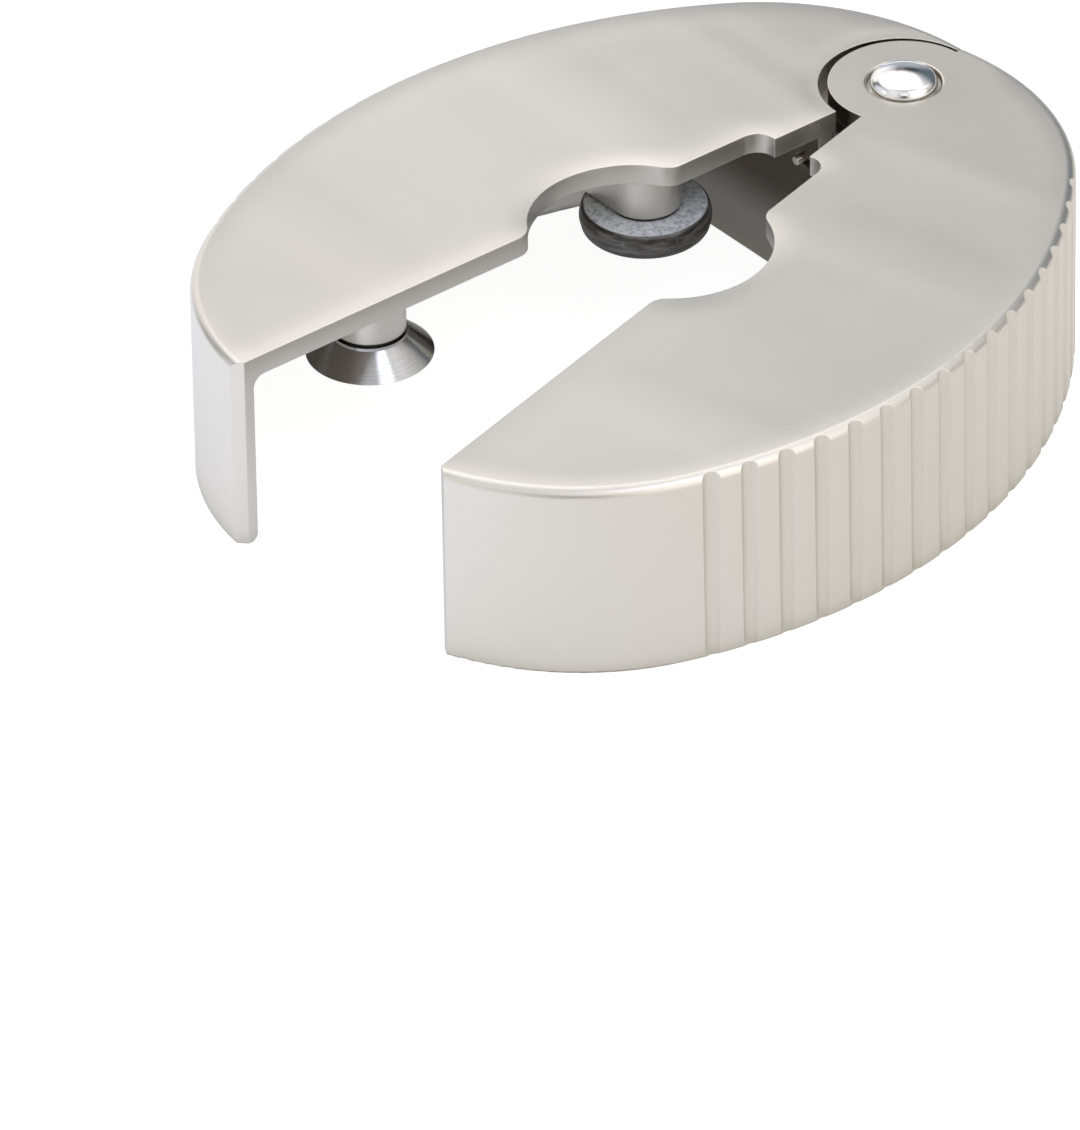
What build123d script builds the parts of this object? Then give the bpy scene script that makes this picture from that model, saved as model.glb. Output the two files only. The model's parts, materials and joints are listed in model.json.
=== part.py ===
from build123d import *
import math
import os

# Foil cutter: two cast half shells on a sprung hinge, each with a cutting wheel and a guide roller.
# Millimetres. +Z is up, the rims rest on z = 0, and the open jaw points to -X.
# Left and right are as seen from the open jaw, looking at the hinge: left is +Y.
# Each half is drawn in its own plan, with the hinge axis at the origin, its centre line
# along -X and its outside towards +Y. The right half is the mirror image of the left.

os.makedirs("parts", exist_ok=True)

# Oval case
case_height = 19.1
case_half_length = 41.2
case_half_width = 29.8
case_end_radius = 25.0
hinge_to_end = 8.0
plate_thickness = 2.0
wall_thickness = 2.0
top_edge_radius = 0.9
rim_edge_radius = 0.3
rim_inside_radius = 0.8
tip_corner_cut = 1.0
inside_corner_radius = 1.2
opening_angle = 15.2

# Jaw edge of each plate, measured from the half's centre line
jaw_half_gap = 2.24
jaw_start = 14.9
jaw_start_radius = 1.8
neck_hole_radius = 9.1
neck_hole_offset = 1.9
neck_tip_corner_radius = 1.9
neck_hinge_corner_radius = 2.0
stop_half_gap = 0.15

# Grip flutes
flute_count = 17
flute_pitch = 3.7
flute_radius = 0.95
flute_depth = 0.56
flute_foot_depth = 0.3
first_flute_run = 27.2

# Wall across each half, and the slot in it for the spring leg
cross_wall_distance = 8.0
cross_wall_thickness = 1.6
cross_wall_end_gap = 0.4
leg_slot_clearance = 0.05

# Hinge
hub_radius = 6.85
hub_clearance = 0.6
hub_pocket_offset = 0.33
lug_radius = 5.2
lug_thickness = 2.4
shank_radius = 1.75
running_clearance = 0.05
dome_radius = 3.05
dome_land = 0.4
dome_rise = 1.4
dome_edge_radius = 0.9
dome_recess_clearance = 0.3
dome_recess_depth = 0.5
dome_recess_round = 0.3
hinge_washer_thickness = 0.45
hinge_washer_radius = 4.9
sleeve_wall = 0.6
tail_washer_thickness = 0.8
tail_washer_radius = 4.4
tail_radius = 2.9
tail_rise = 1.0

# Torsion spring
wire_diameter = 0.9
coil_clearance = 0.2
coil_gap = 0.6
coil_end_gap = 0.35
full_turns = 3
leg_reach = 0.6

# Wheel stations
boss_radius = 3.3
boss_drop = 4.8
wheel_offset = 8.06
cutter_to_tip = 19.5
roller_distance = 23.4
axle_radius = 1.5
axle_hold = 3.6
axle_end_gap = 0.3
axle_play = 0.08
screw_head_radius = 2.6
screw_head_height = 0.9
screw_head_edge = 0.25
screw_slot_width = 0.6
screw_slot_depth = 0.4
axle_washer_radius = 2.7

# Cutting wheel
cutter_washer_thickness = 0.22
cutter_collar_radius = 3.45
cutter_collar_height = 0.28
cutter_edge_radius = 5.73
cutter_cone_height = 2.05
cutter_back_bevel_height = 0.3
cutter_back_bevel_width = 0.8

# Guide roller
roller_washer_thickness = 0.2
roller_hub_radius = 2.95
roller_radius = 6.0
roller_height = 2.65
roller_bulge = 0.15
roller_top_edge = 0.85
roller_bottom_edge = 0.7

# One overrun for every cut
overrun = 2.0

# Derived places along the case
hinge_to_middle = case_half_length - hinge_to_end
end_arc_middle = case_half_length - case_end_radius
cutter_distance = hinge_to_middle + case_half_length - cutter_to_tip

# Derived heights
plate_underside = case_height - plate_thickness
lug_top = plate_underside - hinge_washer_thickness - running_clearance
lug_bottom = lug_top - lug_thickness
boss_bottom = plate_underside - boss_drop
half_angle = opening_angle / 2

# Derived spring and sleeve
wire_radius = wire_diameter / 2
sleeve_radius = shank_radius + sleeve_wall
coil_radius = sleeve_radius + coil_clearance + wire_radius
coil_pitch = wire_diameter + coil_gap
coil_angle = 360 * full_turns + 180 - opening_angle
coil_rise = coil_pitch * coil_angle / 360
upper_leg_z = lug_bottom - coil_end_gap - wire_radius
lower_leg_z = upper_leg_z - coil_rise
sleeve_top = lug_bottom - running_clearance
sleeve_bottom = lower_leg_z - wire_radius - coil_end_gap
tail_washer_bottom = sleeve_bottom - tail_washer_thickness
leg_length = cross_wall_distance + cross_wall_thickness + leg_reach


def solid_between(sketch, low, high):
    """The prism of a plan sketch between two heights."""
    return extrude(Pos(0, 0, low) * sketch, amount=high - low)


def disc(radius, low, high, x=0, y=0):
    """A round slab about a vertical axis."""
    return solid_between(Pos(x, y) * Circle(radius), low, high)


def arcs_meet(half_length, half_width, end_radius):
    """Where the end arc of an oval runs smoothly into its side arc, from the oval's middle."""
    end_middle = half_length - end_radius
    spare = half_width - end_radius
    side_middle = (end_middle**2 - spare**2) / (2 * spare)
    heading = math.atan2(side_middle, end_middle)
    return end_middle + end_radius * math.cos(heading), end_radius * math.sin(heading)


def case_arcs(inset=0):
    """The outer curve of the left half, from the tip round to the hinge: an end, a long side and an end."""
    length = case_half_length - inset
    width = case_half_width - inset
    x, y = arcs_meet(length, width, case_end_radius - inset)
    tip_end = TangentArc((-length, 0), (-x, y), tangent=(0, 1))
    side = ThreePointArc((-x, y), (0, width), (x, y))
    hinge_end = TangentArc((length, 0), (x, y), tangent=(0, 1))
    return Pos(-hinge_to_middle, 0) * (tip_end + side + hinge_end)


def case_oval(inset=0):
    """The closed oval of the whole case, or one set in from it."""
    arcs = case_arcs(inset)
    return make_face(arcs + mirror(arcs, Plane.XZ))


def rectangle_between(x_low, x_high, y_low, y_high):
    """A plan rectangle from its sides."""
    width = x_high - x_low
    depth = y_high - y_low
    return Pos(x_low + width / 2, y_low + depth / 2) * Rectangle(width, depth)


def plan_limits():
    """How far a cut has to run to pass the oval on every side."""
    return hinge_to_middle + case_half_length + overrun


def back_stop_side():
    """The plan on the far side of the line where the two halves meet behind the hinge."""
    reach = plan_limits()
    line = Polyline((0, 0), (reach, 0), (reach, -reach), (0, -reach), close=True)
    return Rot(0, 0, half_angle) * Pos(0, stop_half_gap) * make_face(line)


def corner_near(sketch, x, y):
    """The corner of a sketch nearest to a place."""
    return sketch.vertices().sort_by_distance((x, y, 0))[0]


def neck_corner_reach():
    """How far along the jaw edge the round of the neck hole reaches from its middle."""
    rise = jaw_half_gap + neck_hole_offset
    return math.sqrt(neck_hole_radius**2 - rise**2)


def jaw_opening():
    """What is cut from the plan between the halves: a long gap and half of the neck hole."""
    far = plan_limits()
    gap = rectangle_between(-far, -jaw_start, -far, jaw_half_gap)
    gap = fillet(corner_near(gap, -jaw_start, jaw_half_gap), jaw_start_radius)
    return gap + Pos(-hinge_to_middle, -neck_hole_offset) * Circle(neck_hole_radius)


def tip_corner():
    """The square, turned by an eighth, that takes the corner off the tip."""
    tip = -hinge_to_middle - end_arc_middle - math.sqrt(case_end_radius**2 - jaw_half_gap**2)
    side = tip_corner_cut * math.sqrt(2)
    return Pos(tip, jaw_half_gap) * Rot(0, 0, 45) * Rectangle(side, side)


def half_plan():
    """Plan outline of one half, with every corner rounded as on the casting."""
    far = plan_limits()
    plan = case_oval() & rectangle_between(-far, far, stop_half_gap, far)
    plan = plan - back_stop_side() - jaw_opening()
    plan = plan - tip_corner()
    reach = neck_corner_reach()
    near_tip = corner_near(plan, -hinge_to_middle - reach, jaw_half_gap)
    plan = fillet(near_tip, neck_tip_corner_radius)
    near_hinge = corner_near(plan, -hinge_to_middle + reach, jaw_half_gap)
    return fillet(near_hinge, neck_hinge_corner_radius)


def cavity():
    """The hollow under the plate, rounded where the plate meets the wall."""
    block = solid_between(case_oval(wall_thickness), -overrun, plate_underside)
    rim = block.edges().group_by(Axis.Z)[-1]
    return fillet(rim, inside_corner_radius)


def flutes():
    """Round grooves down the outside of the wall, evenly spaced, and shallower towards the rim."""
    curve = Wire(case_arcs().edges())
    grooves = []
    for number in range(flute_count):
        run = first_flute_run + number * flute_pitch
        slope = curve.tangent_at(run, position_mode=PositionMode.LENGTH)
        outward = Vector(-slope.Y, slope.X)
        edge = curve.position_at(run, position_mode=PositionMode.LENGTH)
        foot = edge + outward * (flute_radius - flute_foot_depth)
        rise = Vector(0, 0, case_height) - outward * (flute_depth - flute_foot_depth)
        section = Plane(foot, z_dir=rise).offset(-overrun) * Circle(flute_radius)
        grooves.append(extrude(section, amount=rise.length + 2 * overrun))
    return grooves


def rib_to_wall(x, y, radius, low, high):
    """A boss with a round end, carried out to the wall of the half at its full width."""
    far = plan_limits()
    plan = Pos(x, y) * Circle(radius) + rectangle_between(x - radius, x + radius, y, far)
    return solid_between(plan & case_oval(wall_thickness / 2), low, high)


def wheel_boss(distance):
    """The boss that carries one wheel, with the hole for its axle screw."""
    boss = rib_to_wall(-distance, wheel_offset, boss_radius, boss_bottom, plate_underside)
    hole_top = boss_bottom + axle_hold
    return boss - disc(axle_radius, boss_bottom, hole_top, -distance, wheel_offset)


def cross_wall(leg_z):
    """The wall across the half beside the hinge, slotted from its end for the spring leg."""
    outside = -cross_wall_distance - cross_wall_thickness
    far = plan_limits()
    plan = rectangle_between(outside, -cross_wall_distance, cross_wall_end_gap, far)
    wall = solid_between(plan & case_oval(wall_thickness / 2), 0, plate_underside)
    slot_radius = wire_radius + leg_slot_clearance
    across = Plane((outside - overrun, coil_radius, leg_z), x_dir=(0, 1, 0), z_dir=(1, 0, 0))
    opening = Circle(slot_radius) + Pos(-coil_radius, 0) * Rectangle(2 * coil_radius, 2 * slot_radius)
    return wall - extrude(across * opening, amount=cross_wall_thickness + 2 * overrun)


def half_block():
    """One half before it is hollowed, with its top edge and its rim rounded on the outside."""
    block = solid_between(half_plan(), 0, case_height)
    upper = block.edges().group_by(Axis.Z)[-1].sort_by(SortBy.LENGTH)[-1]
    block = fillet(upper, top_edge_radius)
    lower = block.edges().group_by(Axis.Z)[0].sort_by(SortBy.LENGTH)[-1]
    return fillet(lower, rim_edge_radius)


def hollow_block():
    """The block with its hollow, and the inside of its rim rounded."""
    hollow = half_block() - cavity()
    inner = hollow.edges().group_by(Axis.Z)[0].sort_by(SortBy.LENGTH)[-2]
    return fillet(inner, rim_inside_radius)


def half_shell(leg_z):
    """What the two castings have in common: plate, wall, flutes, cross wall and wheel bosses."""
    shell = hollow_block() - flutes() + cross_wall(leg_z)
    for distance in (cutter_distance, roller_distance):
        shell = shell + wheel_boss(distance)
    return shell


def left_shell():
    """The half with the lug that turns under the hub, and the pocket that the hub fills."""
    lug = rib_to_wall(0, 0, lug_radius, lug_bottom, plate_underside)
    pocket = disc(hub_radius + hub_clearance, lug_top, case_height + overrun, -hub_pocket_offset)
    bore = disc(shank_radius + running_clearance, lug_bottom - overrun, lug_top + overrun)
    return half_shell(upper_leg_z) + lug - pocket - bore


def right_shell():
    """The half with the round hub, flush with the plates and recessed for the rivet's head."""
    hub = disc(hub_radius, plate_underside, case_height)
    recess_floor = case_height - dome_recess_depth
    recess_radius = dome_radius + dome_recess_clearance
    recess = disc(recess_radius, recess_floor, case_height + overrun)
    bore = disc(shank_radius, plate_underside - overrun, case_height + overrun)
    shell = mirror(half_shell(lower_leg_z), Plane.XZ) + hub - recess
    circles = shell.edges().filter_by(GeomType.CIRCLE)
    rim = circles.sort_by_distance((recess_radius, 0, case_height))[0]
    return fillet(rim, dome_recess_round) - bore


def turned(outline):
    """A solid of revolution about the vertical axis, from an outline given as radius and height."""
    return revolve(make_face(Plane.XZ * outline), Axis.Z)


def ring(inner, outer, low, high):
    """A flat washer or sleeve."""
    return disc(outer, low, high) - disc(inner, low - overrun, high + overrun)


def hinge_rivet():
    """Domed head in the hub's recess, a plain shank, and a lower domed tail under its washer."""
    seat = case_height - dome_recess_depth
    shoulder = seat + dome_land
    tail = TangentArc((0, tail_washer_bottom - tail_rise), (tail_radius, tail_washer_bottom), tangent=(1, 0))
    side = Polyline(
        (tail_radius, tail_washer_bottom),
        (shank_radius, tail_washer_bottom),
        (shank_radius, seat),
        (dome_radius, seat),
        (dome_radius, shoulder),
    )
    top = shoulder + dome_rise
    x, y = arcs_meet(dome_radius, dome_rise, dome_edge_radius)
    edge = TangentArc((dome_radius, shoulder), (x, shoulder + y), tangent=(0, 1))
    crown = TangentArc((0, top), (x, shoulder + y), tangent=(1, 0))
    axis = Line((0, top), (0, tail_washer_bottom - tail_rise))
    return turned(tail + side + edge + crown + axis)


def coil_point(angle, fall):
    """Place and direction on the spring's helix, at an angle turned from its upper leg."""
    heading = math.radians(90 - half_angle - angle)
    drop = coil_pitch * angle / 360
    place = Vector(coil_radius * math.cos(heading), coil_radius * math.sin(heading), upper_leg_z - drop)
    slope = Vector(coil_radius * math.sin(heading), -coil_radius * math.cos(heading), -fall)
    return place, slope.normalized()


def arc_pair(start, start_slope, end, end_slope):
    """Two arcs that meet smoothly and leave the ends in the given directions."""
    chord = end - start
    both = start_slope + end_slope
    spread = 2 * (1 - start_slope.dot(end_slope))
    along = chord.dot(both)
    arm = (math.sqrt(along**2 + spread * chord.dot(chord)) - along) / spread
    first_end = start + start_slope * arm
    last_end = end - end_slope * arm
    meeting = (first_end + last_end) / 2
    first = TangentArc(start, meeting, tangent=start_slope)
    second = TangentArc(meeting, end, tangent=last_end - first_end)
    return [first, second]


def spring_path():
    """Centre line of the spring: a leg to the left wall, the turns, and a leg to the right wall."""
    spans = math.ceil(coil_angle / 180)
    falls = [0] + [coil_pitch / (2 * math.pi)] * (spans - 1) + [0]
    marks = [coil_point(coil_angle * number / spans, fall) for number, fall in enumerate(falls)]
    first_place, first_slope = marks[0]
    last_place, last_slope = marks[-1]
    pieces = [Line(first_place - first_slope * leg_length, first_place)]
    for (start, start_slope), (end, end_slope) in zip(marks, marks[1:]):
        pieces += arc_pair(start, start_slope, end, end_slope)
    pieces.append(Line(last_place, last_place + last_slope * leg_length))
    return Wire([piece.edge() for piece in pieces])


def least_coil_gap(path, samples_per_turn=24):
    """The smallest space that the wire leaves to itself, measured between points of its path."""
    turn = 2 * math.pi * coil_radius
    count = math.ceil(path.length / turn * samples_per_turn)
    points = [path.position_at(number / count) for number in range(count + 1)]
    apart = samples_per_turn // 2
    gaps = []
    for number, point in enumerate(points):
        gaps += [(point - other).length for other in points[number + apart:]]
    return min(gaps) - wire_diameter


def hinge_spring():
    """Torsion spring of round wire that opens the jaw against its stop."""
    path = spring_path()
    section = Plane(path.position_at(0), z_dir=path.tangent_at(0)) * Circle(wire_radius)
    print("least gap between the spring's turns", round(least_coil_gap(path), 3))
    return sweep(section, path=path)


def axle_screw(wheel_top, wheel_height):
    """Shouldered screw: a shank held in the boss, and a slotted head under the wheel."""
    head_top = wheel_top - wheel_height - axle_play
    head_bottom = head_top - screw_head_height
    head = disc(screw_head_radius, head_bottom, head_top)
    head = fillet(head.edges().group_by(Axis.Z)[0], screw_head_edge)
    length = 2 * (screw_head_radius + overrun)
    slot = rectangle_between(-length / 2, length / 2, -screw_slot_width / 2, screw_slot_width / 2)
    head = head - solid_between(slot, head_bottom - overrun, head_bottom + screw_slot_depth)
    return head + disc(axle_radius, head_top, boss_bottom + axle_hold - axle_end_gap)


def cutting_wheel(top):
    """Collar, long cone to the sharp rim, and a short bevel behind the edge."""
    bore = axle_radius + running_clearance
    cone_top = top - cutter_collar_height
    edge = cone_top - cutter_cone_height
    bottom = edge - cutter_back_bevel_height
    outline = Polyline(
        (bore, top),
        (cutter_collar_radius, top),
        (cutter_collar_radius, cone_top),
        (cutter_edge_radius, edge),
        (cutter_edge_radius - cutter_back_bevel_width, bottom),
        (bore, bottom),
        close=True,
    )
    return turned(outline)


def roller_tyre(top):
    """Soft ring with a slightly bulged side and rounded edges."""
    bottom = top - roller_height
    shoulder = roller_radius - roller_bulge
    upper = (shoulder - roller_top_edge, top)
    lower = (shoulder - roller_bottom_edge, bottom)
    side_top = (shoulder, top - roller_top_edge)
    side_bottom = (shoulder, bottom + roller_bottom_edge)
    middle = (roller_radius, (side_top[1] + side_bottom[1]) / 2)
    outline = Polyline(lower, (roller_hub_radius, bottom), (roller_hub_radius, top), upper)
    outline += TangentArc(upper, side_top, tangent=(1, 0))
    outline += ThreePointArc(side_top, middle, side_bottom)
    outline += TangentArc(lower, side_bottom, tangent=(1, 0))
    return turned(outline)


def cutter_station():
    """The pieces under a cutting boss, about their own axis."""
    washer_bottom = boss_bottom - cutter_washer_thickness
    wheel_top = washer_bottom - axle_play
    wheel_height = cutter_collar_height + cutter_cone_height + cutter_back_bevel_height
    bore = axle_radius + running_clearance
    return {
        "cutter_washer": ring(bore, axle_washer_radius, washer_bottom, boss_bottom),
        "cutting_wheel": cutting_wheel(wheel_top),
        "cutter_screw": axle_screw(wheel_top, wheel_height),
    }


def roller_station():
    """The pieces under a roller boss, about their own axis."""
    washer_bottom = boss_bottom - roller_washer_thickness
    wheel_top = washer_bottom - axle_play
    bore = axle_radius + running_clearance
    return {
        "roller_washer": ring(bore, axle_washer_radius, washer_bottom, boss_bottom),
        "roller_hub": ring(bore, roller_hub_radius, wheel_top - roller_height, wheel_top),
        "roller_tyre": roller_tyre(wheel_top),
        "roller_screw": axle_screw(wheel_top, roller_height),
    }


def stations(side, facing):
    """All wheel pieces of one half, in that half's plan. facing is 1 on the left, -1 on the right."""
    pieces = {}
    for distance, station in ((cutter_distance, cutter_station()), (roller_distance, roller_station())):
        for name, piece in station.items():
            pieces[f"{side}_{name}"] = Pos(-distance, facing * wheel_offset, 0) * piece
    return pieces


def hinge_pieces():
    """What sits on the hinge axis between and under the two castings."""
    washer_bore = shank_radius + running_clearance
    washer_low = plate_underside - hinge_washer_thickness
    return {
        "hinge_rivet": hinge_rivet(),
        "hinge_washer": ring(washer_bore, hinge_washer_radius, washer_low, plate_underside),
        "spring_sleeve": ring(shank_radius, sleeve_radius, sleeve_bottom, sleeve_top),
        "hinge_spring": hinge_spring(),
        "tail_washer": ring(shank_radius, tail_washer_radius, tail_washer_bottom, sleeve_bottom),
    }


def build():
    """Every piece in place with the jaw open, its hinge axis on the origin."""
    left = {"left_shell": left_shell()}
    left.update(stations("left", 1))
    right = {"right_shell": right_shell()}
    right.update(stations("right", -1))
    pieces = {name: Rot(0, 0, -half_angle) * piece for name, piece in left.items()}
    pieces.update({name: Rot(0, 0, half_angle) * piece for name, piece in right.items()})
    pieces.update(hinge_pieces())
    return pieces


def resting_place(pieces):
    """How far to move everything so that the origin is under the middle of the whole, on the floor."""
    boxes = [piece.bounding_box() for piece in pieces.values()]
    x_sum = min(box.min.X for box in boxes) + max(box.max.X for box in boxes)
    y_sum = min(box.min.Y for box in boxes) + max(box.max.Y for box in boxes)
    return Vector(-x_sum / 2, -y_sum / 2, -min(box.min.Z for box in boxes))


pieces = build()
hinge = resting_place(pieces)
print("hinge axis at", round(hinge.X, 4), round(hinge.Y, 4), "lifted by", round(hinge.Z, 4))
for name, piece in pieces.items():
    export_step(Pos(hinge) * piece, f"parts/{name}.step")
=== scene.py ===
import json
import math

import bpy
from mathutils import Matrix, Vector


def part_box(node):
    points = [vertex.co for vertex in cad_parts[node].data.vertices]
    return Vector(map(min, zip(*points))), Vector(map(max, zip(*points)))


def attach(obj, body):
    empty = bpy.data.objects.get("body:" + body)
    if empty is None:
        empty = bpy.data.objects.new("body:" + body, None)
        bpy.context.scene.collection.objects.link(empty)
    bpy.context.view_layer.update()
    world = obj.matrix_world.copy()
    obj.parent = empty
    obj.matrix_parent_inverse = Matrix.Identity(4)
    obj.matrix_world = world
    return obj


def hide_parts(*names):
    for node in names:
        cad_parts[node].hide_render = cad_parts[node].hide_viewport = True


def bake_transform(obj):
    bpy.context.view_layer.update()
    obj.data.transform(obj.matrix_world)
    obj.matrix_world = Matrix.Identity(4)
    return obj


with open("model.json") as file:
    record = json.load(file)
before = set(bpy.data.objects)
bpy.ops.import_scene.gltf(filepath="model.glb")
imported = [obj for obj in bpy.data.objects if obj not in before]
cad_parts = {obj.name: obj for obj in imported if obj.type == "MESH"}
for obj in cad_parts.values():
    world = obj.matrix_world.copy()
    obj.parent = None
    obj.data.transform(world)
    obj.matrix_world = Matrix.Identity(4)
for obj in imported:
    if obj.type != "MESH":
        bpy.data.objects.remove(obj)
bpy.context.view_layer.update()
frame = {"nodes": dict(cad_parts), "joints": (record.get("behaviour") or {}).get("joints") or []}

MM = 0.001
SIDES = ("left", "right")
hinge = next(joint for joint in frame["joints"] if joint["name"] == "jaw_hinge")
hinge_place = Vector((hinge["pos_m"][0], hinge["pos_m"][1], 0))
opening_angle = hinge["range_deg"][1]


# Materials

BEVEL_SAMPLES = 6
WIDE_BEVEL_SAMPLES = 8
OPENNESS_SAMPLES = 5
SMALL_EDGE = 0.05 * MM
FINE_RELIEF = 0.01 * MM
NOISE_LOW, NOISE_HIGH = 0.3, 0.7


class Finish:
    """A procedural material: one Principled shader and the nodes that feed it."""

    def __init__(self, name, colour, metallic, roughness, **sockets):
        self.material = bpy.data.materials.new(name)
        self.material.use_nodes = True
        self.tree = self.material.node_tree
        self.shader = self.tree.nodes["Principled BSDF"]
        self.set("Base Color", (*colour, 1))
        self.set("Metallic", metallic)
        self.set("Roughness", roughness)
        for socket, value in sockets.items():
            self.set(socket.replace("_", " "), value)
        self.place = self.add("ShaderNodeTexCoord").outputs["Object"]

    def put(self, socket, value):
        """Links an output to a socket, or sets the socket's own value."""
        if isinstance(value, bpy.types.NodeSocket):
            self.tree.links.new(value, socket)
        else:
            socket.default_value = value

    def set(self, socket, value):
        self.put(self.shader.inputs[socket], value)

    def add(self, kind, inputs=(), **settings):
        """A node with its inputs given by name or number, and its settings by attribute."""
        node = self.tree.nodes.new(kind)
        for name, value in settings.items():
            setattr(node, name, value)
        for key, value in dict(inputs).items():
            self.put(node.inputs[key], value)
        return node

    def noise(self, scale, detail=2.0, roughness=0.5, place=None, distortion=0.0):
        """Cloudy noise, most of it between NOISE_LOW and NOISE_HIGH. In object coordinates the scale is
        per metre, so 1000 gives spots of about a millimetre."""
        values = {
            "Vector": place or self.place,
            "Scale": scale,
            "Detail": detail,
            "Roughness": roughness,
            "Distortion": distortion,
        }
        return self.add("ShaderNodeTexNoise", values).outputs["Fac"]

    def spread(self, value, low, high, start=0.0, end=1.0, smooth=False):
        """Maps a value from low..high to start..end, clamped."""
        node = self.add(
            "ShaderNodeMapRange",
            {"Value": value, "From Min": low, "From Max": high, "To Min": start, "To Max": end},
        )
        if smooth:
            node.interpolation_type = "SMOOTHSTEP"
        return node.outputs["Result"]

    def mix(self, share, first, second):
        """The first colour, with a share of the second."""
        node = self.add("ShaderNodeMix", data_type="RGBA")
        colours = [socket for socket in node.inputs if socket.type == "RGBA"]
        self.put(node.inputs["Factor"], share)
        for socket, value in zip(colours, (first, second)):
            self.put(socket, value if isinstance(value, bpy.types.NodeSocket) else (*value, 1))
        return next(socket for socket in node.outputs if socket.type == "RGBA")

    def maths(self, operation, first, second=0.0):
        return self.add("ShaderNodeMath", {0: first, 1: second}, operation=operation).outputs[0]

    def times(self, first, second):
        return self.maths("MULTIPLY", first, second)

    def vectors(self, operation, inputs, result="Vector"):
        return self.add("ShaderNodeVectorMath", inputs, operation=operation).outputs[result]

    def dot(self, first, second):
        return self.vectors("DOT_PRODUCT", {0: first, 1: second}, "Value")

    def plan(self, place):
        """A place with its height left out."""
        return self.vectors("MULTIPLY", {0: place, 1: (1, 1, 0)})

    def axis_distance(self, place):
        """How far a place lies from the vertical axis through the origin."""
        return self.vectors("LENGTH", {0: self.plan(place)}, "Value")

    def part_of(self, vector, axis):
        return self.add("ShaderNodeSeparateXYZ", {0: vector}).outputs[axis]

    def facing(self):
        """The way the surface faces, before any bump."""
        return self.add("ShaderNodeNewGeometry").outputs["Normal"]

    def openness(self, reach):
        """1 where nothing stands within the reach of a spot, less where its surroundings close it in."""
        values = {"Distance": reach}
        return self.add("ShaderNodeAmbientOcclusion", values, samples=OPENNESS_SAMPLES).outputs["AO"]

    def bump(self, height, strength, distance, normal=None):
        values = {"Height": height, "Strength": strength, "Distance": distance}
        if normal is not None:
            values["Normal"] = normal
        return self.add("ShaderNodeBump", values).outputs["Normal"]

    def eased_edges(self, radius, samples=BEVEL_SAMPLES):
        """The surface's normal with its sharp edges read as rounded."""
        return self.add("ShaderNodeBevel", {"Radius": radius}, samples=samples).outputs["Normal"]

    def crowned(self, normal, reach, share):
        """A normal that leans a little outwards near the edges, as on a face that polishing has crowned."""
        lean = self.eased_edges(reach, WIDE_BEVEL_SAMPLES)
        wide = self.vectors("SCALE", {0: lean, "Scale": share})
        both = self.vectors("ADD", {0: wide, 1: normal})
        return self.vectors("NORMALIZE", {0: both})

    def edge_share(self, radius, low, high):
        """1 on the sharp edges and 0 away from them."""
        return self.spread(self.dot(self.eased_edges(radius), self.facing()), high, low)

    def facing_inwards(self, start, full):
        """1 on the faces that look towards the middle of the case, 0 outside and near the middle.
        Start and full say how far from the middle a face lies, along the way it looks."""
        return self.spread(self.dot(self.facing(), self.plan(self.place)), -start, -full)

    def about(self, centre):
        """Object coordinates measured from a point."""
        return self.vectors("SUBTRACT", {0: self.place, 1: tuple(centre)})

    def rings(self, place, pitch, detail=3.0, roughness=0.6):
        """Turned rings of uneven width about the vertical axis through a place, about one every pitch.
        They run on outwards and down, so a cone has them too."""
        run = self.maths("SUBTRACT", self.axis_distance(place), self.part_of(place, "Z"))
        values = {"W": run, "Scale": 1 / pitch, "Detail": detail, "Roughness": roughness}
        return self.add("ShaderNodeTexNoise", values, noise_dimensions="1D").outputs["Fac"]


def node_axis(name):
    """Where the vertical axis of a packed round piece stands."""
    low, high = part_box(name)
    return Vector(((low.x + high.x) / 2, (low.y + high.y) / 2, 0))


def nickel_tone(finish, clouds):
    """Colour of the satin plate: cloudy and finely specked, with painted shade, dull and brownish, where it
    is closed in, on the cross walls by the hinge, on faces that look down and in the flutes.
    """
    cloud_dark, cloud_light = (0.778, 0.750, 0.708), (0.803, 0.774, 0.735)
    speck, painted_shade_hollow, painted_shadow_corner = (0.70, 0.67, 0.62), (0.34, 0.30, 0.25), (0.085, 0.067, 0.051)
    underside, painted_shade_groove = (0.24, 0.19, 0.145), (0.44, 0.41, 0.31)
    speck_scale, speck_share = 1500, 0.10
    hollow_reach, groove_reach = 9 * MM, 1.5 * MM
    upper_share, lower_share = 0.10, 0.45
    underside_share, groove_share = 0.75, 0.40

    tone = finish.mix(finish.spread(clouds, NOISE_LOW, NOISE_HIGH), cloud_dark, cloud_light)
    specks = finish.noise(speck_scale, 3, 0.65)
    tone = finish.mix(finish.spread(specks, 0.35, 0.7, 0.0, speck_share), tone, speck)

    # Painted shade on spots that their surroundings close in, more so below the plates
    closed = finish.spread(finish.openness(hollow_reach), 0.55, 0.20, smooth=True)
    level = finish.part_of(finish.place, "Z")
    below = finish.spread(level, 17 * MM, 14 * MM, upper_share, lower_share)
    tone = finish.mix(finish.times(closed, below), tone, painted_shade_hollow)

    # Painted shadow of the plates on the cross walls beside the hinge, darker upwards
    near_hinge = finish.spread(finish.part_of(finish.place, "X"), 18.5 * MM, 21.5 * MM, smooth=True)
    upwards = finish.spread(level, 3.0 * MM, 9.5 * MM, 0.62, 0.97, smooth=True)
    shade = finish.times(finish.times(near_hinge, upwards), finish.facing_inwards(12 * MM, 19 * MM))
    tone = finish.mix(shade, tone, painted_shadow_corner)

    # Painted shade on faces that look down, and in the bottoms of the flutes
    upright = finish.part_of(finish.facing(), "Z")
    tone = finish.mix(finish.spread(upright, -0.5, -0.9, 0.0, underside_share), tone, underside)
    pinched = finish.spread(finish.openness(groove_reach), 0.92, 0.50, 0.0, groove_share)
    return finish.mix(pinched, tone, painted_shade_groove)


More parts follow.
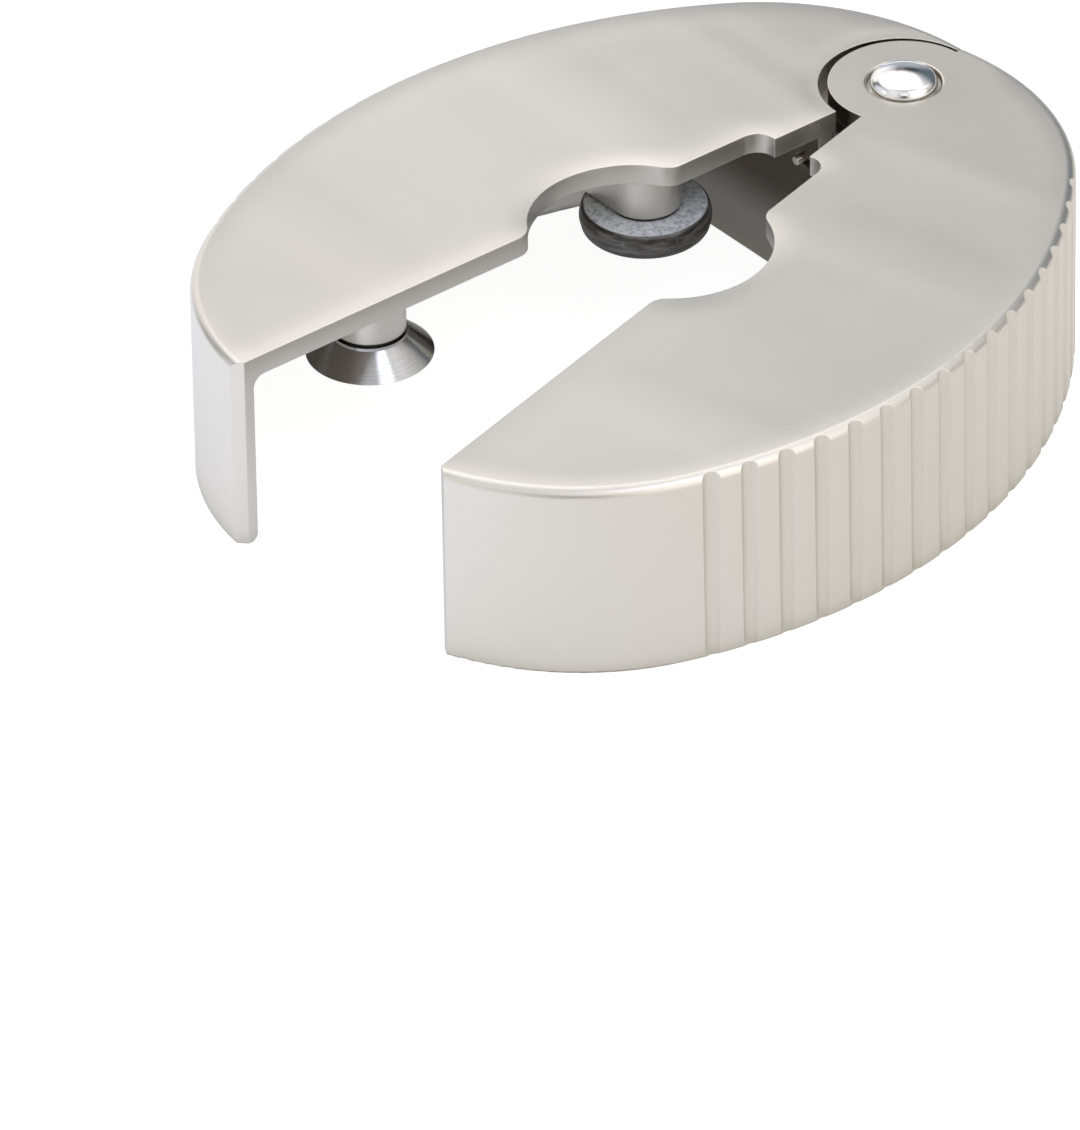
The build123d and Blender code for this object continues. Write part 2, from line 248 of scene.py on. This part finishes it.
def satin_nickel():
    """Warm satin plate on the castings: faint clouding, fine blasted grain, edges polished by wear and
    brightened by a painted highlight.
    """
    finish = Finish("satin_nickel", (0.78, 0.75, 0.70), 1.0, 0.34)
    edge_highlight, edge_highlight_share, rubbed_polish = (0.86, 0.84, 0.80), 0.30, 0.09
    rubbed_edge, rounded_edge = 0.30 * MM, 0.12 * MM
    crown_reach, crown_share = 5 * MM, 0.16
    hub_start, hub_end = 7.5 * MM, 9.5 * MM
    grain_strength, grain_depth = 0.16, 0.006 * MM

    clouds = finish.noise(38, 3, 0.55)
    grain = finish.noise(5200, 2, 0.6)
    # Edges: smoother from wear, brighter from a painted highlight
    wear_and_highlight = finish.edge_share(rubbed_edge, 0.72, 0.985)
    tone = nickel_tone(finish, clouds)
    finish.set("Base Color", finish.mix(finish.times(wear_and_highlight, edge_highlight_share), tone, edge_highlight))
    dull = finish.spread(finish.maths("ADD", grain, clouds), 0.7, 1.3, 0.31, 0.38)
    finish.set("Roughness", finish.maths("SUBTRACT", dull, finish.times(wear_and_highlight, rubbed_polish)))

    # The faces are crowned everywhere but on the flat hub
    from_hinge = finish.axis_distance(finish.about(hinge_place))
    crown = finish.spread(from_hinge, hub_start, hub_end, 0.0, crown_share, smooth=True)
    soft = finish.crowned(finish.eased_edges(rounded_edge), crown_reach, crown)
    finish.set("Normal", finish.bump(grain, grain_strength, grain_depth, soft))
    return finish.material


def polished_nickel():
    """Bright pressed dome, with hair scratches and a slightly uneven polish."""
    finish = Finish("polished_nickel", (0.90, 0.90, 0.91), 1.0, 0.06)
    bright, smeared = (0.93, 0.93, 0.94), (0.84, 0.84, 0.85)
    rounded_edge = 0.06 * MM
    smears = finish.noise(700, 3, 0.6, distortion=0.8)
    scratches = finish.noise(9000, 2, 0.7, distortion=3.0)
    finish.set("Roughness", finish.spread(smears, 0.35, 0.7, 0.035, 0.10))
    finish.set("Base Color", finish.mix(finish.spread(smears, 0.3, 0.8), bright, smeared))
    waves = finish.bump(finish.noise(420, 2), 0.12, 0.02 * MM, finish.eased_edges(rounded_edge))
    finish.set("Normal", finish.bump(scratches, 0.04, 0.003 * MM, waves))
    return finish.material


def turned_steel(name, node, colour, pitch, roughness, depth):
    """Lathe-turned metal about its own axis: fine uneven rings, small nicks, faint straw-tinted patches."""
    finish = Finish(name, colour, 1.0, roughness, Anisotropic=0.8, Anisotropic_Rotation=0.25)
    ring_shade, straw, nick_share = 0.80, (0.98, 0.93, 0.86), 0.5
    smoother, duller = 0.05, 0.07
    rings = finish.rings(finish.about(node_axis(node)), pitch)
    patches = finish.noise(520, 3, 0.6)
    dark = tuple(part * ring_shade for part in colour)
    tint = tuple(part * factor for part, factor in zip(colour, straw))
    tone = finish.mix(finish.spread(rings, 0.30, 0.62), dark, colour)
    finish.set("Base Color", finish.mix(finish.spread(patches, 0.45, 0.7, 0.0, 0.5), tone, tint))
    lowest, highest = roughness - smoother, roughness + duller
    finish.set("Roughness", finish.spread(patches, NOISE_LOW, NOISE_HIGH, lowest, highest))
    tangent = finish.add("ShaderNodeTangent", direction_type="RADIAL", axis="Z")
    finish.set("Tangent", tangent.outputs["Tangent"])
    nicks = finish.maths("ADD", rings, finish.times(finish.noise(2600, 3, 0.7), nick_share))
    finish.set("Normal", finish.bump(nicks, depth, FINE_RELIEF, finish.eased_edges(SMALL_EDGE)))
    return finish.material


def drawn_wire():
    """Spring wire: drawing lines along its length, and patches of a grey-brown heat tint."""
    finish = Finish("drawn_wire", (0.50, 0.48, 0.45), 1.0, 0.28)
    dark, light, heat = (0.62, 0.59, 0.54), (0.86, 0.83, 0.78), (0.60, 0.54, 0.45)
    line_stretch = (2.0, 46.0, 1.0)
    route = finish.add("ShaderNodeTexCoord").outputs["UV"]
    lines = finish.add("ShaderNodeMapping", {"Vector": route, "Scale": line_stretch}).outputs[0]
    streaks = finish.noise(3.0, 3, 0.6, place=lines)
    patches = finish.noise(420, 2, 0.6)
    tone = finish.mix(finish.spread(streaks, NOISE_LOW, NOISE_HIGH), dark, light)
    finish.set("Base Color", finish.mix(finish.spread(patches, 0.45, 0.75, 0.0, 0.6), tone, heat))
    finish.set("Roughness", finish.spread(streaks, NOISE_LOW, NOISE_HIGH, 0.24, 0.36))
    finish.set("Normal", finish.bump(streaks, 0.25, FINE_RELIEF))
    return finish.material


def moulded(name, colour, roughness):
    """Dark or grey plastic with a fine moulded grain and slightly paler patches."""
    finish = Finish(name, colour, 0.0, roughness, Specular_IOR_Level=0.4)
    paler_factor, paler_lift = 1.7, 0.01
    smoother, duller = 0.06, 0.08
    grain = finish.noise(3800, 3, 0.6)
    patches = finish.noise(600, 2, 0.5)
    lighter = tuple(min(1.0, part * paler_factor + paler_lift) for part in colour)
    finish.set("Base Color", finish.mix(finish.spread(patches, 0.4, 0.7, 0.0, 0.6), colour, lighter))
    lowest, highest = roughness - smoother, roughness + duller
    finish.set("Roughness", finish.spread(grain, NOISE_LOW, NOISE_HIGH, lowest, highest))
    finish.set("Normal", finish.bump(grain, 0.2, FINE_RELIEF, finish.eased_edges(SMALL_EDGE)))
    return finish.material


def rubber(side):
    """Tyre rubber: the cut faces are dusty blue-grey and mottled, with painted light making them paler
    towards -X and +Y and painted glints in white specks, and the tread is dark and warm."""
    finish = Finish(f"{side}_tyre_rubber", (0.08, 0.078, 0.075), 0.0, 0.45, Specular_IOR_Level=0.9)
    top_dark, top_light, dust_grey = (0.36, 0.40, 0.48), (0.88, 0.93, 1.0), (0.52, 0.57, 0.66)
    pale, white, sheen = (0.88, 0.95, 1.0), (1.0, 1.0, 1.0), (0.86, 0.92, 1.0, 1.0)
    tread_dark, tread_light, tread_dust = (0.020, 0.018, 0.015), (0.150, 0.147, 0.146), (0.34, 0.35, 0.37)
    pale_way, pale_start, pale_end, pale_share = (-0.7, 0.7, 0), -5 * MM, 6 * MM, 0.85
    sheen_share = 0.7
    streak_stretch = (1.0, 1.0, 9.0)

    facing = finish.add("ShaderNodeTexCoord").outputs["Normal"]
    flat = finish.spread(finish.maths("ABSOLUTE", finish.part_of(facing, "Z")), 0.86, 0.985, smooth=True)
    mottle = finish.noise(1900, 4, 0.7)
    dust = finish.noise(640, 3, 0.65, distortion=0.6)
    specks = finish.noise(7000, 2, 0.6)
    # Painted light: the cut faces made paler on one side, towards -X and +Y
    along = finish.dot(finish.about(node_axis(f"{side}_roller_tyre")), pale_way)
    paler = finish.spread(along, pale_start, pale_end, 0.0, pale_share, smooth=True)
    top = finish.mix(finish.spread(mottle, 0.42, 0.58), top_dark, top_light)
    top = finish.mix(finish.spread(dust, 0.42, 0.62, 0.0, 0.5), top, dust_grey)
    top = finish.mix(finish.times(paler, finish.spread(mottle, 0.38, 0.50)), top, pale)
    # Painted glints: white specks on the cut faces
    top = finish.mix(finish.spread(specks, 0.58, 0.66, 0.0, 0.9), top, white)

    level = finish.add("ShaderNodeMapping", {"Vector": finish.place, "Scale": streak_stretch}).outputs[0]
    streaks = finish.noise(260, 4, 0.65, place=level)
    tread = finish.mix(finish.spread(streaks, 0.44, 0.62), tread_dark, tread_light)
    tread = finish.mix(finish.spread(mottle, 0.60, 0.70, 0.0, 0.4), tread, tread_dust)

    finish.set("Base Color", finish.mix(flat, tread, top))
    finish.set("Sheen Weight", finish.times(flat, sheen_share))
    finish.set("Sheen Tint", sheen)
    finish.set("Roughness", finish.spread(mottle, NOISE_LOW, NOISE_HIGH, 0.34, 0.52))
    rough = finish.maths("ADD", finish.times(mottle, 0.6), finish.times(specks, 0.4))
    finish.set("Normal", finish.bump(rough, 0.45, 0.03 * MM))
    return finish.material


def give(material, *names):
    """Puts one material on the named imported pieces."""
    for name in names:
        for slot in frame["nodes"][name].material_slots:
            slot.material = material


def dress_packed_pieces():
    """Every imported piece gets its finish."""
    black, warm_grey = (0.022, 0.021, 0.020), (0.20, 0.185, 0.165)
    dark_grey, mid_grey = (0.045, 0.045, 0.047), (0.16, 0.16, 0.165)
    brass, zinc_grey = (0.72, 0.56, 0.32), (0.58, 0.57, 0.55)
    wheel_steel, screw_steel = (0.55, 0.555, 0.57), (0.56, 0.55, 0.54)
    fine, coarse = 0.12 * MM, 0.14 * MM
    give(satin_nickel(), "left_shell", "right_shell")
    give(polished_nickel(), "hinge_rivet")
    give(moulded("nylon_black", black, 0.45), "hinge_washer")
    give(turned_steel("sleeve_brass", "spring_sleeve", brass, fine, 0.26, 0.3), "spring_sleeve")
    give(turned_steel("washer_steel", "tail_washer", zinc_grey, coarse, 0.28, 0.3), "tail_washer")
    for side in SIDES:
        wheel = f"{side}_cutting_wheel"
        give(turned_steel(f"{side}_cutter_steel", wheel, wheel_steel, coarse, 0.16, 0.5), wheel)
        for station in ("cutter", "roller"):
            screw = f"{side}_{station}_screw"
            give(turned_steel(f"{screw}_steel", screw, screw_steel, coarse, 0.27, 0.35), screw)
        give(moulded(f"{side}_washer_black", warm_grey, 0.4), f"{side}_cutter_washer")
        give(moulded(f"{side}_washer_grey", dark_grey, 0.5), f"{side}_roller_washer")
        give(moulded(f"{side}_hub_grey", mid_grey, 0.42), f"{side}_roller_hub")


# New pieces

def mesh_piece(name, points, faces, material, smooth=True):
    """An object with its place in its mesh."""
    mesh = bpy.data.meshes.new(name)
    mesh.from_pydata([tuple(point) for point in points], [], faces)
    mesh.materials.append(material)
    for face in mesh.polygons:
        face.use_smooth = smooth
    piece = bpy.data.objects.new(name, mesh)
    bpy.context.scene.collection.objects.link(piece)
    return piece


def rounded_corner(centre, radius, start, turn, steps):
    """Points of an arc in radius and height, from a start angle through a turn, in degrees."""
    angles = [math.radians(start + turn * number / steps) for number in range(steps + 1)]
    return [(centre[0] + radius * math.cos(a), centre[1] + radius * math.sin(a)) for a in angles]


def tyre_profile(inner, outer, low, high):
    """Cross section of a tyre as radius and height: rounded edges and a slightly full tread."""
    top_edge, bottom_edge, bulge = 0.46 * MM, 0.84 * MM, 0.14 * MM
    arc_steps, tread_steps, face_steps = 7, 8, 6
    shoulder = outer - bulge
    points = [(inner, low)]
    points += rounded_corner((shoulder - bottom_edge, low + bottom_edge), bottom_edge, -90, 90, arc_steps)
    tread_low, tread_high = low + bottom_edge, high - top_edge
    for number in range(1, tread_steps):
        share = number / tread_steps
        swell = bulge * (1 - (2 * share - 1) ** 2)
        points.append((shoulder + swell, tread_low + (tread_high - tread_low) * share))
    points += rounded_corner((shoulder - top_edge, high - top_edge), top_edge, 0, 90, arc_steps)
    span = shoulder - top_edge - inner
    points += [(inner + span * (1 - number / face_steps), high) for number in range(1, face_steps + 1)]
    return points


def unevenness(angle, level, depth):
    """A slow, repeatable waver for a surface cut from soft rubber: waves per turn, phase and share."""
    waves = ((3, 0.7, 0.35), (7, 2.1, 0.25), (13, 4.4, 0.22), (29, 1.3, 0.18))
    lag_per_level = 5.0
    total = 0.0
    for count, phase, share in waves:
        total += share * math.sin(count * angle + phase + lag_per_level * level)
    return depth * total


def tyre(side, material, turns=144):
    """Rubber ring of one roller, with faintly uneven cut faces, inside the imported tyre's box."""
    node = f"{side}_roller_tyre"
    inset, tread_waver, face_waver = 0.012 * MM, 0.012 * MM, 0.010 * MM
    tread_level, face_level, face_offset = 0.37, 0.53, 2
    low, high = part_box(node)
    hub_low, hub_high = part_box(f"{side}_roller_hub")
    middle = node_axis(node)
    inner = (hub_high.x - hub_low.x) / 2
    outer = (high.x - low.x) / 2
    profile = tyre_profile(inner, outer - inset, low.z + inset, high.z - inset)
    count = len(profile)
    points = []
    for turn in range(turns):
        angle = math.tau * turn / turns
        for number, (radius, height) in enumerate(profile):
            sway = unevenness(angle, number * tread_level, tread_waver)
            wide = radius if number in (0, count - 1) else radius + sway
            tall = height + unevenness(angle, number * face_level + face_offset, face_waver)
            points.append(middle + Vector((wide * math.cos(angle), wide * math.sin(angle), tall)))
    faces = []
    for turn in range(turns):
        here, there = turn * count, (turn + 1) % turns * count
        for number in range(count):
            after = (number + 1) % count
            faces.append((here + number, there + number, there + after, here + after))
    piece = mesh_piece(f"{side}_rubber_tyre", points, faces, material)
    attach(piece, f"{side}_roller")
    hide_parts(node)


def spring_points():
    """Centre line of the hinge spring: leg to the left wall, turns downwards, leg to the right wall."""
    box_low, box_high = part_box("hinge_spring")
    wire, coil_radius, leg_length = 0.9 * MM, 3.0 * MM, 10.2 * MM
    leg_steps, coil_steps = 8, 260
    coil_turns, ease = 3.5, 40.0
    turned = 360 * coil_turns - opening_angle
    span = turned - ease
    upper, lower = box_high.z - wire / 2, box_low.z + wire / 2

    def heading(angle):
        return math.radians(90 - opening_angle / 2 - angle)

    def at(angle, height):
        way = heading(angle)
        return hinge_place + Vector((coil_radius * math.cos(way), coil_radius * math.sin(way), height))

    def slope(angle):
        way = heading(angle)
        return Vector((math.sin(way), -math.cos(way), 0))

    def height(angle):
        """Straight fall with a gentle start and end."""
        if angle < ease:
            share = angle * angle / (2 * ease)
        elif angle > turned - ease:
            share = span - (turned - angle) ** 2 / (2 * ease)
        else:
            share = angle - ease / 2
        return upper - (upper - lower) * share / span

    first, last = at(0, upper), at(turned, lower)
    points = [first - slope(0) * leg_length * number / leg_steps for number in range(leg_steps, 0, -1)]
    coil_angles = [turned * number / coil_steps for number in range(coil_steps + 1)]
    points += [at(angle, height(angle)) for angle in coil_angles]
    points += [last + slope(turned) * leg_length * number / leg_steps for number in range(1, leg_steps + 1)]
    return points, wire / 2


def tube(name, points, radius, material, sides=20):
    """Round wire along a line of points, with cut ends that have a small broken edge."""
    broken_share = 0.18
    frames = []
    up = Vector((0, 0, 1))
    for number, point in enumerate(points):
        before = points[max(number - 1, 0)]
        after = points[min(number + 1, len(points) - 1)]
        along = (after - before).normalized()
        across = along.cross(up).normalized()
        frames.append((point, along, across, across.cross(along).normalized()))
    broken = radius * broken_share
    first, last = frames[0], frames[-1]
    rows = [(first[0], first, radius - broken), (first[0] + first[1] * broken, first, radius)]
    rows += [(item[0], item, radius) for item in frames[1:-1]]
    rows += [(last[0] - last[1] * broken, last, radius), (last[0], last, radius - broken)]
    corners, faces = [], []
    for place, (_, _, across, upward), wide in rows:
        for side in range(sides):
            angle = math.tau * side / sides
            corners.append(place + across * wide * math.cos(angle) + upward * wide * math.sin(angle))
    for row in range(len(rows) - 1):
        for side in range(sides):
            after = (side + 1) % sides
            a, b = row * sides, (row + 1) * sides
            faces.append((a + side, b + side, b + after, a + after))
    faces.append(tuple(range(sides)))
    faces.append(tuple(reversed(range((len(rows) - 1) * sides, len(rows) * sides))))
    piece = mesh_piece(name, corners, faces, material)
    for face in piece.data.polygons[-2:]:
        face.use_smooth = False
    layer = piece.data.uv_layers.new(name="along")
    for face in piece.data.polygons[:-2]:
        row, side = divmod(face.index, sides)
        corner_shares = ((row, side), (row + 1, side), (row + 1, side + 1), (row, side + 1))
        for loop, (length, around) in zip(face.loop_indices, corner_shares):
            layer.data[loop].uv = (length / len(rows), around / sides)
    return piece


def hinge_spring():
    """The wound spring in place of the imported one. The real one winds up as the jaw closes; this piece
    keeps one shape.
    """
    points, radius = spring_points()
    piece = tube("spring_wire", points, radius, drawn_wire())
    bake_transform(piece)
    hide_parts("hinge_spring")


# Stage

def stage_floor():
    """Plain pale floor, near white to the eye. To everything it lights it is matt and glows a little, warm
    at the photograph's right and cool at its left. Seen from below it isn't there, so that the underside
    can be looked at."""
    size = 6.0
    warm, cool = (0.60, 0.585, 0.56), (0.70, 0.72, 0.76)
    warm_glow, cool_glow, glow_strength = (0.86, 0.84, 0.81), (1.05, 1.09, 1.16), 0.30
    cool_way, warm_end, cool_end = (-0.5, 0.86, 0), -45 * MM, 50 * MM
    seen_glow, seen_matt = 0.93, (0.30, 0.30, 0.30, 1)
    corners = [(-size, -size, 0), (size, -size, 0), (size, size, 0), (-size, size, 0)]
    finish = Finish("floor_white", (0.80, 0.80, 0.80), 0.0, 0.9, Specular_IOR_Level=0.1)
    share = finish.spread(finish.dot(finish.place, cool_way), warm_end, cool_end)
    finish.set("Base Color", finish.mix(share, warm, cool))
    finish.set("Emission Color", finish.mix(share, warm_glow, cool_glow))
    finish.set("Emission Strength", glow_strength)
    seen = finish.add("ShaderNodeLightPath").outputs["Is Camera Ray"]
    behind = finish.add("ShaderNodeNewGeometry").outputs["Backfacing"]
    clear = finish.add("ShaderNodeBsdfTransparent").outputs[0]
    glow = finish.add("ShaderNodeEmission", {"Color": (1, 1, 1, 1), "Strength": seen_glow}).outputs[0]
    matt = finish.add("ShaderNodeBsdfDiffuse", {"Color": seen_matt}).outputs[0]
    bright = finish.add("ShaderNodeAddShader", {0: glow, 1: matt}).outputs[0]
    above = finish.add("ShaderNodeMixShader", {0: seen, 1: finish.shader.outputs[0], 2: bright}).outputs[0]
    both = finish.add("ShaderNodeMixShader", {0: behind, 1: above, 2: clear}).outputs[0]
    finish.tree.links.new(both, finish.tree.nodes["Material Output"].inputs["Surface"])
    floor = mesh_piece("floor", corners, [(0, 1, 2, 3)], finish.material, smooth=False)


def direction(azimuth, elevation):
    """Unit vector towards a place in the sky. Azimuth 0 is -Y and grows towards +X."""
    a, e = math.radians(azimuth), math.radians(elevation)
    return Vector((math.sin(a) * math.cos(e), -math.cos(a) * math.cos(e), math.sin(e)))


def soft_box(name, aim, azimuth, elevation, distance, size, strength, colour):
    """A square studio light that shines on a point. Strength is its brightness as seen, not its power."""
    light = bpy.data.lights.new(name, "AREA")
    light.shape = "RECTANGLE"
    light.size, light.size_y = size, size
    light.energy = strength * math.pi * size * size
    light.color = colour
    lamp = bpy.data.objects.new(name, light)
    bpy.context.scene.collection.objects.link(lamp)
    towards = direction(azimuth, elevation)
    lamp.location = Vector(aim) + towards * distance
    lamp.rotation_mode = "QUATERNION"
    lamp.rotation_quaternion = towards.to_track_quat("Z", "Y")
    lamp.visible_camera = False


def sky(dim, glows):
    """Soft studio room: an even dim light, and round soft-edged glows laid over it. A glow is its name,
    azimuth, elevation, the angles from its middle where it is full and where it ends, and its colour."""
    world = bpy.data.worlds.new("studio")
    bpy.context.scene.world = world
    world.use_nodes = True
    tree = world.node_tree
    place = tree.nodes.new("ShaderNodeTexCoord").outputs["Generated"]
    total = dim
    for name, azimuth, elevation, full, end, colour in glows:
        near = tree.nodes.new("ShaderNodeVectorMath")
        near.operation = "DOT_PRODUCT"
        near.inputs[1].default_value = direction(azimuth, elevation)
        tree.links.new(place, near.inputs[0])
        share = tree.nodes.new("ShaderNodeMapRange")
        share.interpolation_type = "SMOOTHSTEP"
        share.inputs["From Min"].default_value = math.cos(math.radians(end))
        share.inputs["From Max"].default_value = math.cos(math.radians(full))
        tree.links.new(near.outputs["Value"], share.inputs["Value"])
        glow = tree.nodes.new("ShaderNodeVectorMath")
        glow.label = name
        glow.operation = "MULTIPLY_ADD"
        glow.inputs[1].default_value = colour
        tree.links.new(share.outputs["Result"], glow.inputs[0])
        if isinstance(total, tuple):
            glow.inputs[2].default_value = total
        else:
            tree.links.new(total, glow.inputs[2])
        total = glow.outputs[0]
    tree.links.new(total, tree.nodes["Background"].inputs["Color"])


def lights():
    """A big white box high behind, a pale ceiling, and low glows all round a dim room. The plates mirror four
    small near boxes, which give them their fall of light from the tips to the hinge."""
    room = (0.16, 0.155, 0.15)

    # Sides are as the photograph's viewer has them, and behind is beyond the cutter
    glows = (
        ("main box, high behind", 146, 64, 22, 33, (0.81, 0.795, 0.765)),
        ("ceiling", 0, 90, 28, 62, (0.68, 0.68, 0.70)),
        ("less where these two meet", 146, 80, 10, 26, (-0.48, -0.48, -0.46)),
        ("right", 45, 36, 12, 36, (0.54, 0.52, 0.49)),
        ("small and bluish, high front right", -5, 58, 4, 13, (2.00, 2.10, 2.35)),
        ("low behind", 134, 10, 8, 22, (0.28, 0.31, 0.36)),
        ("darker under the main box", 134, 33, 5, 20, (-0.12, -0.12, -0.12)),
        ("bluer, right behind", 96, 24, 6, 30, (-0.04, 0.00, 0.03)),
        ("low front right", -1, 16, 10, 42, (1.20, 1.16, 1.08)),
        ("low front left", -91, 16, 10, 42, (0.66, 0.65, 0.63)),
        ("low left, cool", -136, 16, 10, 31, (0.64, 0.66, 0.74)),
        ("above the viewer", -46, 38, 6, 15, (0.80, 0.78, 0.74)),
        ("low behind on the left", 164, 18, 8, 27, (0.90, 0.88, 0.86)),
    )
    sky(room, glows)

    # Name, the spot of the plates that it shines on in X and Y, strength
    near = (
        ("near_tip", -0.030, 0.012, 0.30),
        ("near_front", -0.030, -0.012, 0.05),
        ("near_side", -0.008, 0.024, 0.06),
        ("near_hinge", 0.014, 0.020, 0.13),
    )
    mirrored_azimuth, mirrored_elevation = 134, 34.4
    box_distance, box_size, box_colour = 0.20, 0.06, (1.0, 0.985, 0.96)
    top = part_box("right_shell")[1].z
    for name, x, y, strength in near:
        aim = (x, y, top)
        soft_box(
            name, aim, mirrored_azimuth, mirrored_elevation, box_distance, box_size, strength, box_colour
        )


def camera():
    """The photograph's view, from the fit of the plates' outline: the hinge's top lies at a known pixel."""
    photo_width, photo_height = 1080, 1130
    focal_pixels = 15377.2
    hinge_pixel = (903.91, 81.6)
    distance = 1.37766
    azimuth, elevation, roll = -45.97, 34.383, math.radians(-0.948)
    sensor, nearest, farthest = 36, 0.05, 20
    back = direction(azimuth, elevation)
    level = Vector((math.cos(math.radians(azimuth)), math.sin(math.radians(azimuth)), 0))
    upright = back.cross(level)
    right = level * math.cos(roll) + upright * math.sin(roll)
    up = upright * math.cos(roll) - level * math.sin(roll)
    aside = (hinge_pixel[0] - photo_width / 2) / focal_pixels * distance
    above = (photo_height / 2 - hinge_pixel[1]) / focal_pixels * distance
    hinge_top = hinge_place + Vector((0, 0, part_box("right_shell")[1].z))
    place = hinge_top - right * aside - up * above + back * distance
    data = bpy.data.cameras.new("photo_view")
    data.sensor_width = sensor
    data.lens = focal_pixels * data.sensor_width / photo_height
    data.clip_start, data.clip_end = nearest, farthest
    view = bpy.data.objects.new("photo_view", data)
    bpy.context.scene.collection.objects.link(view)
    turn = Matrix((right, up, back)).transposed().to_4x4()
    view.matrix_world = Matrix.Translation(place) @ turn
    bpy.context.scene.camera = view


bpy.context.scene.view_settings.view_transform = "Standard"
dress_packed_pieces()
for side in SIDES:
    tyre(side, rubber(side))
hinge_spring()
stage_floor()
lights()
camera()
